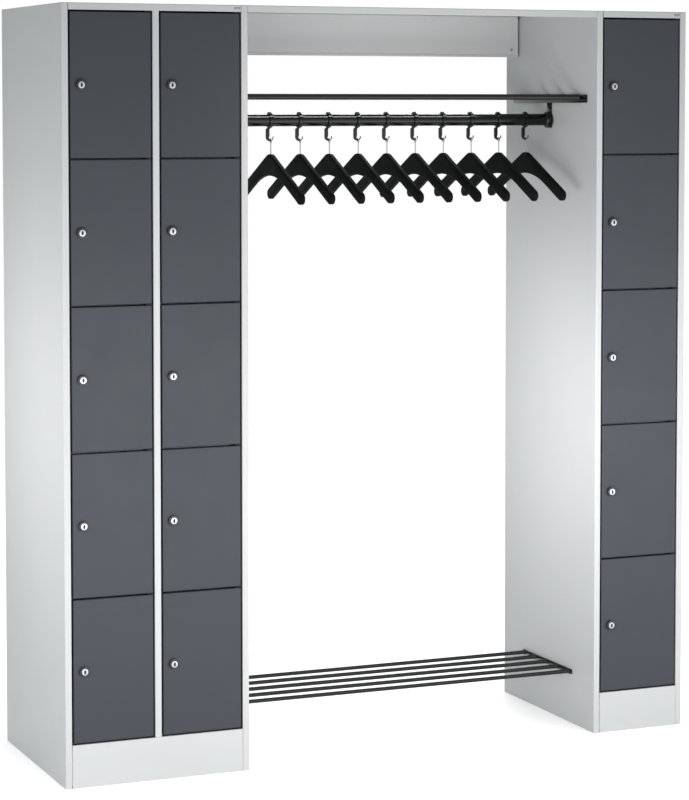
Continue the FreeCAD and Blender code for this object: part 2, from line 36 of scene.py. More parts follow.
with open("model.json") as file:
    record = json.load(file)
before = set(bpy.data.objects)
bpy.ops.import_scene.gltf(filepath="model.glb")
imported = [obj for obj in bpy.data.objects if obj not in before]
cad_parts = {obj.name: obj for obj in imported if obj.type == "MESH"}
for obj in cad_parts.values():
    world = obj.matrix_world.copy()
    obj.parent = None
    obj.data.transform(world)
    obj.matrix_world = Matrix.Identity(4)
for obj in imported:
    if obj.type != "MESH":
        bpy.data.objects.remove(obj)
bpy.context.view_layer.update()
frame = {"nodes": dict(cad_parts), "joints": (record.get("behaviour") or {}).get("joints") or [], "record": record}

MM = 0.001
X_AXIS = Vector((1, 0, 0))
Y_AXIS = Vector((0, 1, 0))
Z_AXIS = Vector((0, 0, 1))
ORIGIN = Vector((0, 0, 0))
MERGE = 0.001 * MM
SMOOTH_BELOW = math.radians(40)

JOINTS = {joint["name"]: joint for joint in frame["joints"]}
COLUMNS = "abc"
ROWS = range(1, 6)
HOOKS = range(1, 11)

# Finishes: ranges that noises and shares are stretched from and to
FULL = (0.0, 1.0)
INVERSE = (1.0, 0.0)
NOISE_CORE = (0.3, 0.7)
NOISE_WIDE = (0.25, 0.75)
EDGE_COSINES = (0.97, 0.72)
CREVICE_OPENNESS = (0.15, 0.5)
EDGE_SAMPLES = 6
OPENNESS_SAMPLES = 8


class Finish:
    """A node material that is built step by step around one Principled shader."""

    def __init__(self, name):
        self.material = bpy.data.materials.new(name)
        self.material.use_nodes = True
        self.tree = self.material.node_tree
        self.shader = self.tree.nodes["Principled BSDF"]
        self.place = self.node("ShaderNodeTexCoord").outputs["Object"]

    def node(self, kind, **settings):
        made = self.tree.nodes.new(kind)
        for key, value in settings.items():
            setattr(made, key, value)
        return made

    def join(self, output, target):
        self.tree.links.new(output, target)

    def noise(self, scale, detail=3.0, rough=0.55, stretch=(1, 1, 1)):
        mapping = self.node("ShaderNodeMapping")
        mapping.inputs["Scale"].default_value = stretch
        self.join(self.place, mapping.inputs["Vector"])
        noise = self.node("ShaderNodeTexNoise")
        noise.inputs["Scale"].default_value = scale
        noise.inputs["Detail"].default_value = detail
        noise.inputs["Roughness"].default_value = rough
        self.join(mapping.outputs["Vector"], noise.inputs["Vector"])
        return noise.outputs["Fac"]

    def spread(self, value, source, target):
        """Stretches one range of a value over another and stops at its ends."""
        node = self.node("ShaderNodeMapRange")
        node.inputs["From Min"].default_value, node.inputs["From Max"].default_value = source
        node.inputs["To Min"].default_value, node.inputs["To Max"].default_value = target
        self.join(value, node.inputs["Value"])
        return node.outputs["Result"]

    def product(self, first, second):
        node = self.node("ShaderNodeMath", operation="MULTIPLY")
        self.join(first, node.inputs[0])
        self.join(second, node.inputs[1])
        return node.outputs["Value"]

    def blend(self, share, first, second):
        """One colour turning into another by a share. A colour is a tuple or an output."""
        node = self.node("ShaderNodeMix", data_type="RGBA")
        self.join(share, node.inputs["Factor"])
        sockets = [socket for socket in node.inputs if socket.type == "RGBA"]
        for colour, socket in zip((first, second), sockets):
            if isinstance(colour, tuple):
                socket.default_value = colour + (1.0,)
            else:
                self.join(colour, socket)
        return next(socket for socket in node.outputs if socket.type == "RGBA")

    def edges(self, radius):
        """A normal that rounds sharp edges, and a share that is 1 on those edges."""
        bevel = self.node("ShaderNodeBevel", samples=EDGE_SAMPLES)
        bevel.inputs["Radius"].default_value = radius
        geometry = self.node("ShaderNodeNewGeometry")
        dot = self.node("ShaderNodeVectorMath", operation="DOT_PRODUCT")
        self.join(bevel.outputs["Normal"], dot.inputs[0])
        self.join(geometry.outputs["Normal"], dot.inputs[1])
        return bevel.outputs["Normal"], self.spread(dot.outputs["Value"], EDGE_COSINES, FULL)

    def openness(self, reach):
        """A share that is 1 in the open and falls towards corners and gaps."""
        node = self.node("ShaderNodeAmbientOcclusion", samples=OPENNESS_SAMPLES)
        node.inputs["Distance"].default_value = reach
        return node.outputs["AO"]

    def crevice_shade(self, reach):
        """A share that is 1 deep in a seam or gap and 0 in the open, where shade is painted."""
        return self.spread(self.openness(reach), CREVICE_OPENNESS, INVERSE)

    def bump(self, height, strength, distance, normal=None):
        node = self.node("ShaderNodeBump")
        node.inputs["Strength"].default_value = strength
        node.inputs["Distance"].default_value = distance
        self.join(height, node.inputs["Height"])
        if normal is not None:
            self.join(normal, node.inputs["Normal"])
        return node.outputs["Normal"]

    def use(self, socket, output):
        self.join(output, self.shader.inputs[socket])

    def set(self, socket, value):
        self.shader.inputs[socket].default_value = value


def shade(colour, share):
    return tuple(part * share for part in colour)


def powder_coat(name, colour, wear_colour, seam_shade_colour, roughness, clouding, gloss):
    """Baked paint with a fine orange peel, faint clouds, worn edges and painted shade in its seams and gaps."""
    finish = Finish(name)
    cloud = finish.spread(finish.noise(scale=2.3, detail=4.0), NOISE_CORE, FULL)
    coat = finish.blend(cloud, shade(colour, 1 - clouding), shade(colour, 1 + clouding))
    normal, edge = finish.edges(radius=0.6 * MM)
    patches = finish.spread(finish.noise(scale=55.0), (0.45, 0.7), (0.0, 0.55))
    worn = finish.blend(finish.product(edge, patches), coat, wear_colour)
    # Painted shade: the colour goes near-black where seams and gaps close the surface in.
    finish.use("Base Color", finish.blend(finish.crevice_shade(reach=14 * MM), worn, seam_shade_colour))
    smudges = finish.noise(scale=14.0, detail=5.0, rough=0.6)
    dull = finish.spread(smudges, NOISE_WIDE, (roughness - 0.05, roughness + 0.06))
    finish.use("Roughness", dull)
    peel = finish.noise(scale=620.0, detail=2.0)
    finish.use("Normal", finish.bump(peel, strength=0.12, distance=0.15 * MM, normal=normal))
    finish.set("Specular IOR Level", gloss)
    return finish.material


def enamel(name, colour, roughness, gloss):
    """Smooth black enamel with faint unevenness and small worn spots on its edges."""
    finish = Finish(name)
    normal, edge = finish.edges(radius=0.5 * MM)
    spots = finish.spread(finish.noise(scale=90.0), (0.5, 0.7), (0.0, 0.5))
    cloud = finish.noise(scale=6.0, detail=4.0)
    coat = finish.blend(cloud, shade(colour, 0.85), shade(colour, 1.15))
    worn = finish.blend(finish.product(edge, spots), coat, shade(colour, 4.0))
    finish.use("Base Color", worn)
    smudges = finish.noise(scale=25.0, detail=4.0)
    finish.use("Roughness", finish.spread(smudges, NOISE_CORE, (roughness - 0.03, roughness + 0.04)))
    waves = finish.noise(scale=420.0, detail=2.0)
    finish.use("Normal", finish.bump(waves, strength=0.05, distance=0.1 * MM, normal=normal))
    finish.set("Specular IOR Level", gloss)
    return finish.material


def moulded_plastic(name, colour, gloss):
    """Dull plastic with a fine eroded grain and faint flow marks."""
    finish = Finish(name)
    marks = finish.noise(scale=9.0, detail=4.0, rough=0.6, stretch=(1, 0.35, 1))
    flow = finish.spread(marks, NOISE_CORE, FULL)
    finish.use("Base Color", finish.blend(flow, shade(colour, 0.85), shade(colour, 1.2)))
    smudges = finish.noise(scale=40.0, detail=4.0)
    finish.use("Roughness", finish.spread(smudges, NOISE_CORE, (0.45, 0.58)))
    grain = finish.noise(scale=1500.0, detail=2.0)
    finish.use("Normal", finish.bump(grain, strength=0.06, distance=0.08 * MM))
    finish.set("Specular IOR Level", gloss)
    return finish.material


def plated_metal(name, colour, roughness, stretch, scale):
    """Plated metal with fine streaks from its polishing or drawing."""
    finish = Finish(name)
    finish.set("Metallic", 1.0)
    lines = finish.noise(scale=scale, detail=3.0, rough=0.6, stretch=stretch)
    tone = finish.spread(lines, NOISE_CORE, FULL)
    finish.use("Base Color", finish.blend(tone, shade(colour, 0.86), colour))
    finish.use("Roughness", finish.spread(lines, NOISE_WIDE, (roughness - 0.05, roughness + 0.08)))
    finish.use("Normal", finish.bump(lines, strength=0.1, distance=0.05 * MM))
    return finish.material


def keyway_painted_shade():
    """The inside of a keyway, painted dull and near-black as the shade deep in its slot."""
    finish = Finish("keyway_painted_shade")
    keyway_shade_tone = finish.noise(scale=300.0, detail=4.0)
    # Painted shade: near-black tones that stand for the shadow inside the slot.
    finish.use("Base Color", finish.blend(keyway_shade_tone, (0.006, 0.006, 0.007), (0.018, 0.017, 0.016)))
    finish.use("Roughness", finish.spread(keyway_shade_tone, NOISE_CORE, (0.5, 0.75)))
    return finish.material


CARCASS_PAINT = powder_coat(
    "carcass_paint",
    colour=(0.65, 0.655, 0.655),
    wear_colour=(0.54, 0.55, 0.56),
    # near-black painted shade for the carcass's seams and gaps
    seam_shade_colour=(0.03, 0.03, 0.03),
    roughness=0.5,
    clouding=0.012,
    gloss=0.3,
)
DOOR_PAINT = powder_coat(
    "door_paint",
    colour=(0.0475, 0.0525, 0.0625),
    wear_colour=(0.14, 0.145, 0.15),
    # near-black painted shade for the doors' seams and gaps
    seam_shade_colour=(0.006, 0.006, 0.007),
    roughness=0.5,
    clouding=0.03,
    gloss=0.3,
)
FITTING_ENAMEL = enamel("fitting_enamel", (0.003, 0.0036, 0.0035), roughness=0.16, gloss=0.28)
COLLAR_ENAMEL = enamel("collar_enamel", (0.014, 0.0155, 0.018), roughness=0.3, gloss=0.5)
HANGER_PLASTIC = moulded_plastic("hanger_plastic", (0.009, 0.01, 0.0097), gloss=0.012)
LOCK_CHROME = plated_metal("lock_chrome", (0.5, 0.51, 0.53), 0.36, stretch=(1, 1, 6), scale=260.0)
SCREW_ZINC = plated_metal("screw_zinc", (0.42, 0.43, 0.45), 0.35, stretch=(1, 1, 0.1), scale=180.0)
DARK_STEEL = plated_metal("dark_steel", (0.022, 0.023, 0.025), 0.45, stretch=(1, 1, 0.1), scale=180.0)
WIRE_STEEL = plated_metal("wire_steel", (0.36, 0.37, 0.38), 0.35, stretch=(1, 1, 0.2), scale=300.0)
PLATE_GREY = plated_metal("plate_grey", (0.3, 0.3, 0.31), 0.4, stretch=(0.1, 1, 1), scale=220.0)
KEYWAY_PAINTED_SHADE = keyway_painted_shade()

SLOT_FINISH = {
    "carcass_paint": CARCASS_PAINT,
    "door_paint": DOOR_PAINT,
    "fitting_paint": FITTING_ENAMEL,
    "lock_chrome": LOCK_CHROME,
    "hanger_plastic": HANGER_PLASTIC,
    "pivot_steel": DARK_STEEL,
}


def dress_nodes():
    """Gives each node of the frame the finish of its material slot."""
    slots = {part["node"]: part["material_slot"] for part in frame["record"]["subparts"]}
    for name, node in frame["nodes"].items():
        finish = SLOT_FINISH[slots[name]]
        if not node.material_slots:
            node.data.materials.append(finish)
        for slot in node.material_slots:
            slot.material = finish


# Making pieces
RIM_COSINE = 0.5
FRONT_COSINE = 0.9
SCREW_STEPS = 24
SCREW_PROFILE_SHARES = [
    (0, 0.35), (0.42, 0.35), (0.42, 0.97), (0.55, 1), (0.82, 0.78), (1, 0.3), (1, 0),
]


def piece(name, work, finishes, body):
    """Turns finished mesh work into a named piece that rides on a body."""
    bmesh.ops.remove_doubles(work, verts=work.verts, dist=MERGE)
    bmesh.ops.recalc_face_normals(work, faces=work.faces)
    for face in work.faces:
        face.smooth = True
    mesh = bpy.data.meshes.new(name)
    work.to_mesh(mesh)
    work.free()
    mesh.set_sharp_from_angle(angle=SMOOTH_BELOW)
    for finish in finishes:
        mesh.materials.append(finish)
    made = bpy.data.objects.new(name, mesh)
    bpy.context.scene.collection.objects.link(made)
    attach(made, body)
    return made


def only(kind, items):
    return [item for item in items if isinstance(item, kind)]


def edges_of(verts):
    """Each edge that meets one of the vertices, once and in a fixed order."""
    return list(dict.fromkeys(edge for vert in verts for edge in vert.link_edges))


def edges_within(items, verts):
    """The edges among some items that join two of the given vertices."""
    edges = only(bmesh.types.BMEdge, items)
    return [edge for edge in edges if all(vert in verts for vert in edge.verts)]


def spun(work, profile, axis, centre, steps):
    """Spins a profile of (radius, distance along the axis) pairs into a shell."""
    across = X_AXIS if axis == Z_AXIS else Z_AXIS
    points = [work.verts.new(centre + across * radius + axis * along) for radius, along in profile]
    edges = [work.edges.new(pair) for pair in zip(points, points[1:])]
    bmesh.ops.spin(
        work, geom=points + edges, cent=centre, axis=axis, angle=math.tau, steps=steps, use_merge=True
    )


def rounded(work, edges, width, segments):
    bmesh.ops.bevel(
        work, geom=edges, offset=width, segments=segments, profile=0.5, affect="EDGES", material=-1,
        offset_type="OFFSET", clamp_overlap=True,
    )


def plain_bar(work, low, high):
    """A bar between two corners. Returns its vertices."""
    made = bmesh.ops.create_cube(work, size=1.0)["verts"]
    bmesh.ops.scale(work, vec=high - low, verts=made)
    bmesh.ops.translate(work, vec=(low + high) / 2, verts=made)
    return made


def rounded_bar(work, low, high, width):
    """A bar with rounded edges between two corners."""
    rounded(work, edges_of(plain_bar(work, low, high)), width, segments=2)


def arc_from(work, start, centre, axis, angle, steps):
    """Draws an arc of edges from a vertex and returns its last vertex."""
    result = bmesh.ops.spin(work, geom=[start], cent=centre, axis=axis, angle=angle, steps=steps)
    return only(bmesh.types.BMVert, result["geom_last"])[0]


def rounded_outline(work, corners, radii, steps):
    """Joins corners in the YZ plane by straight edges, each corner rounded by its radius."""
    ends = []
    befores = corners[-1:] + corners[:-1]
    afters = corners[1:] + corners[:1]
    for corner, before, after, radius, count in zip(corners, befores, afters, radii, steps):
        incoming = (corner - before).normalized()
        outgoing = (after - corner).normalized()
        turn = incoming.angle(outgoing)
        way = 1 if incoming.cross(outgoing).x > 0 else -1
        start = corner - incoming * (radius * math.tan(turn / 2))
        first = work.verts.new(start)
        centre = start + X_AXIS.cross(incoming) * (way * radius)
        ends.append((first, arc_from(work, first, centre, X_AXIS, way * turn, count)))
    for (_, last), (first, _) in zip(ends, ends[1:] + ends[:1]):
        work.edges.new((last, first))


def plate(work, thickness, rim, segments):
    """Fills the outline drawn so far, thickens it along a vector and rounds both rims."""
    bmesh.ops.remove_doubles(work, verts=work.verts, dist=MERGE)
    face = bmesh.ops.contextual_create(work, geom=work.edges[:])["faces"][0]
    bmesh.ops.translate(work, vec=-thickness / 2, verts=work.verts)
    pulled = bmesh.ops.extrude_face_region(work, geom=[face])["geom"]
    bmesh.ops.translate(work, vec=thickness, verts=only(bmesh.types.BMVert, pulled))
    across = thickness.normalized()
    rims = []
    for edge in work.edges:
        along = (edge.verts[0].co - edge.verts[1].co).normalized()
        if abs(along.dot(across)) < RIM_COSINE:
            rims.append(edge)
    rounded(work, rims, rim, segments)


def socket_screw(work, centre, outward, radius, height):
    """A low domed screw head with a round socket."""
    profile = [(reach * radius, rise * height) for reach, rise in SCREW_PROFILE_SHARES]
    spun(work, profile, outward, centre, SCREW_STEPS)


# Cylinder locks: a fixed collar on each door, and a turning face with its shaft and cam
COLLAR_RADIUS = 12.0 * MM
COLLAR_FACE_RADIUS = 11.75 * MM
COLLAR_FRONT = 6.7 * MM
COLLAR_EDGE = 0.7 * MM
COLLAR_CORNER_SHARE = 0.3
COLLAR_DISH = 0.1 * MM
COLLAR_STEPS = 48
PLUG_RADIUS = 7.7 * MM
PLUG_BACK = 6.85 * MM
PLUG_FRONT = 8.9 * MM
PLUG_EDGE = 0.6 * MM
PLUG_CORNER_SHARE = 0.25
PLUG_STEPS = 40
KEYWAY_HALF_WIDTH = 2.6 * MM
KEYWAY_HALF_HEIGHT = 5.2 * MM
KEYWAY_DEPTH = 1.6 * MM
SHAFT_RADIUS = 4.9 * MM
CAM_FRONT = 21.5 * MM
CAM_THICKNESS = 2.5 * MM
CAM_HALF_WIDTH = 8.0 * MM
CAM_REACH = 34.0 * MM
CAM_RIM = 0.35 * MM
CAM_STEPS = 32
NUT_RADIUS = 5.2 * MM
NUT_HEIGHT = 1.4 * MM
FACE_TURN = Matrix.Rotation(math.radians(90), 4, "X")


def circle(work, radius, steps):
    """A circle of edges in the XZ plane. Returns its vertices."""
    return bmesh.ops.create_circle(work, segments=steps, radius=radius, matrix=FACE_TURN)["verts"]


def lock_collar(key, place):
    """The dark ring that stands on the door round the lock's face."""
    corner = COLLAR_CORNER_SHARE * COLLAR_EDGE
    profile = [
        (COLLAR_RADIUS, 0),
        (COLLAR_RADIUS, -COLLAR_EDGE),
        (COLLAR_FACE_RADIUS, COLLAR_EDGE - COLLAR_FRONT),
        (COLLAR_FACE_RADIUS - corner, corner - COLLAR_FRONT),
        (COLLAR_FACE_RADIUS - COLLAR_EDGE, -COLLAR_FRONT),
        (PLUG_RADIUS + COLLAR_EDGE, -COLLAR_FRONT),
        (SHAFT_RADIUS, COLLAR_DISH - COLLAR_FRONT),
    ]
    work = bmesh.new()
    spun(work, profile, Y_AXIS, place, COLLAR_STEPS)
    piece("lock_collar_" + key, work, [COLLAR_ENAMEL], "door_" + key)


def pulled_rim(work, rim, radius, depth):
    """Pulls a round rim out to a new radius and depth and returns the new rim's edges."""
    made = bmesh.ops.extrude_edge_only(work, edges=rim)["geom"]
    verts = only(bmesh.types.BMVert, made)
    for vert in verts:
        out = Vector((vert.co.x, 0, vert.co.z)).normalized() * radius
        vert.co = out + Y_AXIS * depth
    return edges_within(made, verts)


def lock_front(work):
    """The bright face with its oval keyway, then its rim and the shaft behind it."""
    rim = circle(work, PLUG_RADIUS - PLUG_EDGE, PLUG_STEPS)
    slot = circle(work, KEYWAY_HALF_HEIGHT, PLUG_STEPS)
    bmesh.ops.scale(work, vec=(KEYWAY_HALF_WIDTH / KEYWAY_HALF_HEIGHT, 1, 1), verts=slot)
    rim_edges = edges_of(rim)
    slot_edges = edges_of(slot)
    bmesh.ops.bridge_loops(work, edges=rim_edges + slot_edges)
    wall = bmesh.ops.extrude_edge_only(work, edges=slot_edges)["geom"]
    floor = only(bmesh.types.BMVert, wall)
    bmesh.ops.translate(work, vec=Y_AXIS * KEYWAY_DEPTH, verts=floor)
    bottom = bmesh.ops.contextual_create(work, geom=edges_within(wall, floor))["faces"]
    # The keyway's walls and floor take the second finish, painted near-black as shade.
    for face in bottom + only(bmesh.types.BMFace, wall):
        face.material_index = 1
    corner = PLUG_CORNER_SHARE * PLUG_EDGE
    back = PLUG_FRONT - PLUG_BACK
    for radius, depth in (
        (PLUG_RADIUS - corner, corner),
        (PLUG_RADIUS, PLUG_EDGE),
        (PLUG_RADIUS, back),
        (SHAFT_RADIUS, back),
        (SHAFT_RADIUS, PLUG_FRONT + CAM_FRONT),
    ):
        rim_edges = pulled_rim(work, rim_edges, radius, depth)


def lock_cam(work):
    """A flat cam with round ends that hangs from the shaft."""
    outline = circle(work, CAM_HALF_WIDTH, CAM_STEPS)
    lower = [vert for vert in outline if vert.co.z < 0]
    bmesh.ops.translate(work, vec=Z_AXIS * (CAM_HALF_WIDTH - CAM_REACH), verts=lower)
    plate(work, Y_AXIS * CAM_THICKNESS, CAM_RIM, segments=2)
    bmesh.ops.translate(work, vec=Y_AXIS * (CAM_FRONT + CAM_THICKNESS / 2), verts=work.verts)


def make_lock(key):
    """The collar, face and cam of one lock. The face stands in for the lock's node."""
    place = Vector(JOINTS[f"lock_{key}_turn"]["pos_m"])
    lock_collar(key, place)
    front = bmesh.new()
    lock_front(front)
    bmesh.ops.translate(front, vec=place - Y_AXIS * PLUG_FRONT, verts=front.verts)
    face = piece("lock_face_" + key, front, [LOCK_CHROME, KEYWAY_PAINTED_SHADE], "lock_" + key)
    cam = bmesh.new()
    lock_cam(cam)
    socket_screw(cam, Y_AXIS * (CAM_FRONT + CAM_THICKNESS), Y_AXIS, NUT_RADIUS, NUT_HEIGHT)
    bmesh.ops.translate(cam, vec=place, verts=cam.verts)
    piece("lock_cam_" + key, cam, [SCREW_ZINC], "lock_" + key)
    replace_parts(face, "lock_" + key)


# Racks: round rods between flat end bars, with a bead of weld where they meet
BAR_EDGE = 0.9 * MM
BAR_THICKNESS = 5.0 * MM
WELD = 1.6 * MM
WELD_PROFILE_SHARES = [(1, 0), (0.45, 0.45), (0, 1.2)]
ROD_STEPS = 28
RACK_RODS = 5
RACK_SCREW_RADIUS = 4.2 * MM
RACK_SCREW_HEIGHT = 2.2 * MM
HAT_PITCH = 80 * MM
HAT_ROD_RADIUS = 7 * MM
HAT_BAR_HEIGHT = 20 * MM
HAT_ROD_LIFT = 4 * MM
SHOE_PITCH = 62 * MM
SHOE_ROD_RADIUS = 5 * MM
SHOE_BAR_HEIGHT = 12 * MM
SHOE_ROD_LIFT = 0


def rod_profile(radius, length):
    """A rod with a small bead of weld at both ends."""
    bead = [(radius + reach * WELD, along * WELD) for reach, along in WELD_PROFILE_SHARES]
    return bead + [(reach, length - along) for reach, along in reversed(bead)]


def rack(name, pitch, radius, bar_height, rod_lift):
    """A rack in place of its node, with two screws in each end bar."""
    low, high = (Vector(corner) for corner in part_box(name))
    middle = (low.y + high.y) / 2
    bar_middle = low.z + bar_height / 2
    start = low.x + BAR_THICKNESS
    end = high.x - BAR_THICKNESS
    work = bmesh.new()
    for left in (low.x, end):
        near = Vector((left, low.y, low.z))
        far = Vector((left + BAR_THICKNESS, high.y, low.z + bar_height))
        rounded_bar(work, near, far, BAR_EDGE)
    for number in range(RACK_RODS):
        y = middle + (number - (RACK_RODS - 1) / 2) * pitch
        rod_start = Vector((start, y, bar_middle + rod_lift))
        spun(work, rod_profile(radius, end - start), X_AXIS, rod_start, ROD_STEPS)
    screw_from_middle = (RACK_RODS - 2) * pitch / 2
    for side, inward in ((start, X_AXIS), (end, -X_AXIS)):
        for y in (middle - screw_from_middle, middle + screw_from_middle):
            place = Vector((side, y, bar_middle))
            socket_screw(work, place, inward, RACK_SCREW_RADIUS, RACK_SCREW_HEIGHT)
    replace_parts(piece(name + "_rods", work, [FITTING_ENAMEL], "carcass"), name)


# Coat rail with stepped sockets and drop bars
RAIL_RADIUS = 15.0 * MM
RAIL_STEPS = 48
SOCKET_RADIUS = 21.0 * MM
SOCKET_LENGTH = 7.0 * MM
SOCKET_EDGE = 0.8 * MM
SLEEVE_RADIUS = 18.2 * MM
SLEEVE_LENGTH = 13.0 * MM
DROP_BAR_HALF_WIDTH = 10.0 * MM
DROP_SCREW_DROP = 12.0 * MM
DROP_SCREW_RADIUS = 3.6 * MM
DROP_SCREW_HEIGHT = 2.0 * MM
RAIL_LOW, RAIL_HIGH = (Vector(corner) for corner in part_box("coat_rail"))
RAIL_MIDDLE = (RAIL_LOW.y + RAIL_HIGH.y) / 2
RAIL_Z = RAIL_LOW.z + SOCKET_RADIUS


def coat_rail():
    """The rail's tube with a socket at each end, and the drop bars that carry it."""
    left = RAIL_LOW.x + BAR_THICKNESS
    right = RAIL_HIGH.x - BAR_THICKNESS
    socket = [
        (0, 0),
        (SOCKET_RADIUS - SOCKET_EDGE, 0),
        (SOCKET_RADIUS, SOCKET_EDGE),
        (SOCKET_RADIUS, SOCKET_LENGTH - SOCKET_EDGE),
        (SOCKET_RADIUS - SOCKET_EDGE, SOCKET_LENGTH),
        (SLEEVE_RADIUS, SOCKET_LENGTH),
        (RAIL_RADIUS + SOCKET_EDGE, SLEEVE_LENGTH),
        (RAIL_RADIUS, SLEEVE_LENGTH),
    ]
    profile = socket + [(radius, right - left - along) for radius, along in reversed(socket)]
    work = bmesh.new()
    spun(work, profile, X_AXIS, Vector((left, RAIL_MIDDLE, RAIL_Z)), RAIL_STEPS)
    for bar_left, face, inward in ((RAIL_LOW.x, left, X_AXIS), (right, right, -X_AXIS)):
        near = Vector((bar_left, RAIL_MIDDLE - DROP_BAR_HALF_WIDTH, RAIL_LOW.z))
        far = Vector((bar_left + BAR_THICKNESS, RAIL_MIDDLE + DROP_BAR_HALF_WIDTH, RAIL_HIGH.z))
        rounded_bar(work, near, far, BAR_EDGE)
        screw = Vector((face, RAIL_MIDDLE, RAIL_HIGH.z - DROP_SCREW_DROP))
        socket_screw(work, screw, inward, DROP_SCREW_RADIUS, DROP_SCREW_HEIGHT)
    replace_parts(piece("coat_rail_tube", work, [FITTING_ENAMEL], "carcass"), "coat_rail")


# Sliding hooks: a ring round the rail with a knob on top and a flat hook below
RING_INNER = 15.4 * MM
RING_OUTER = 18.4 * MM
RING_HALF_WIDTH = 5.0 * MM
RING_EDGE = 1.0 * MM
RING_STEPS = 44
KNOB_RADIUS = 5.0 * MM
KNOB_RISE = 2.2 * MM
KNOB_PROFILE_SHARES = [(1, 0.25), (0.86, 0.75), (0.5, 0.97), (0, 1)]
KNOB_STEPS = 20
HOOK_THICKNESS = 4.0 * MM
HOOK_RIM = 0.8 * MM
BOWL_RADIUS = 10.0 * MM
BOWL_DROP = 41.0 * MM
BOWL_STEPS = 22
THROAT_RADIUS = 5.0 * MM
THROAT_OFFSET = 3.2 * MM
THROAT_DROP = 1.0 * MM
THROAT_STEPS = 18
TIP_RISE = 1.4 * MM
SHANK_RIGHT = -0.5 * MM
SHOULDER_DROP = 21.4 * MM
NECK_DROP = 17.6 * MM


def hook_plate(work):
    """A flat hook whose thick shank runs down into a bowl that thins out to its tip."""
    first = work.verts.new(Vector((-BOWL_RADIUS, 0, -BOWL_DROP)))
    bowl_turn = math.pi + math.asin(TIP_RISE / BOWL_RADIUS)
    tip_right = arc_from(work, first, -Z_AXIS * BOWL_DROP, Y_AXIS, -bowl_turn, BOWL_STEPS)
    throat = Vector((THROAT_OFFSET, 0, -BOWL_DROP - THROAT_DROP))
    lift = TIP_RISE + THROAT_DROP
    reach = math.sqrt(THROAT_RADIUS ** 2 - lift ** 2)
    tip_left = work.verts.new(throat + Vector((reach, 0, lift)))
    shank = THROAT_OFFSET - SHANK_RIGHT
    rise = math.sqrt(THROAT_RADIUS ** 2 - shank ** 2)
    throat_turn = math.pi + math.atan2(lift, reach) + math.atan2(rise, shank)
    foot = arc_from(work, tip_left, throat, Y_AXIS, throat_turn, THROAT_STEPS)
    head = work.verts.new(Vector((SHANK_RIGHT, 0, -SHOULDER_DROP)))
    neck_right = work.verts.new(Vector((RING_HALF_WIDTH, 0, -NECK_DROP)))
    neck_left = work.verts.new(Vector((-RING_HALF_WIDTH, 0, -NECK_DROP)))
    shoulder = work.verts.new(Vector((-BOWL_RADIUS, 0, -SHOULDER_DROP)))
    work.edges.new((tip_right, tip_left))
    route = [foot, head, neck_right, neck_left, shoulder, first]
    for pair in zip(route, route[1:]):
        work.edges.new(pair)
    plate(work, Y_AXIS * HOOK_THICKNESS, HOOK_RIM, segments=3)


def make_hook(number, x):
    """One hook in place of its node."""
    work = bmesh.new()
    hook_plate(work)
    ring = [
        (RING_INNER, -RING_HALF_WIDTH),
        (RING_OUTER - RING_EDGE, -RING_HALF_WIDTH),
        (RING_OUTER, RING_EDGE - RING_HALF_WIDTH),
        (RING_OUTER, RING_HALF_WIDTH - RING_EDGE),
        (RING_OUTER - RING_EDGE, RING_HALF_WIDTH),
        (RING_INNER, RING_HALF_WIDTH),
        (RING_INNER, -RING_HALF_WIDTH),
    ]
    spun(work, ring, X_AXIS, ORIGIN, RING_STEPS)
    knob = [(KNOB_RADIUS, RING_OUTER - 2 * RING_EDGE)]
    for reach, rise in KNOB_PROFILE_SHARES:
        knob.append((reach * KNOB_RADIUS, RING_OUTER + rise * KNOB_RISE))
    spun(work, knob, Z_AXIS, ORIGIN, KNOB_STEPS)
    bmesh.ops.translate(work, vec=Vector((x, RAIL_MIDDLE, RAIL_Z)), verts=work.verts)
    body = f"rail_hook_{number:02d}"
    hook = piece(f"sliding_hook_{number:02d}", work, [FITTING_ENAMEL], body)
    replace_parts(hook, body)


# Coat hangers on short wires
WIRE_RADIUS = 1.25 * MM
WIRE_SIDES = 12
EYE_RADIUS = 4.0 * MM + WIRE_RADIUS
EYE_STEPS = 28
STEM_END = 43.0 * MM
STEM_STEPS = 14
HANGER_DROP = 33.0 * MM
HANGER_HALF_SPAN = 215.0 * MM
HANGER_ARM = 27.0 * MM
HANGER_SLOPE = math.radians(25.2)
HANGER_THICKNESS = 13.6 * MM
HANGER_RIM = 3.6 * MM
CROWN_RADIUS = 38.0 * MM
CROWN_STEPS = 14
ARCH_RADIUS = 255.0 * MM
ARCH_STEPS = 20
TIP_RADIUS = 13.3 * MM
TIP_STEPS = 8


def hanger_plate(work):
    """Two sloping arms of one width over a wide arch, with round tips."""
    rise = CROWN_RADIUS * (1 / math.cos(HANGER_SLOPE) - 1)
    tip_top = Vector((0, HANGER_HALF_SPAN, rise - HANGER_HALF_SPAN * math.tan(HANGER_SLOPE)))
    across_the_arm = Vector((0, math.sin(HANGER_SLOPE), math.cos(HANGER_SLOPE)))
    tip_low = tip_top - across_the_arm * HANGER_ARM
    arms_meet = rise - HANGER_ARM / math.cos(HANGER_SLOPE)
    other_side = Vector((1, -1, 1))
    outline = [
        (Z_AXIS * rise, CROWN_RADIUS, CROWN_STEPS),
        (tip_top, TIP_RADIUS, TIP_STEPS),
        (tip_low, TIP_RADIUS, TIP_STEPS),
        (Z_AXIS * arms_meet, ARCH_RADIUS, ARCH_STEPS),
        (tip_low * other_side, TIP_RADIUS, TIP_STEPS),
        (tip_top * other_side, TIP_RADIUS, TIP_STEPS),
    ]
    corners, radii, steps = (list(column) for column in zip(*outline))
    rounded_outline(work, corners, radii, steps)
    plate(work, X_AXIS * HANGER_THICKNESS, HANGER_RIM, segments=4)


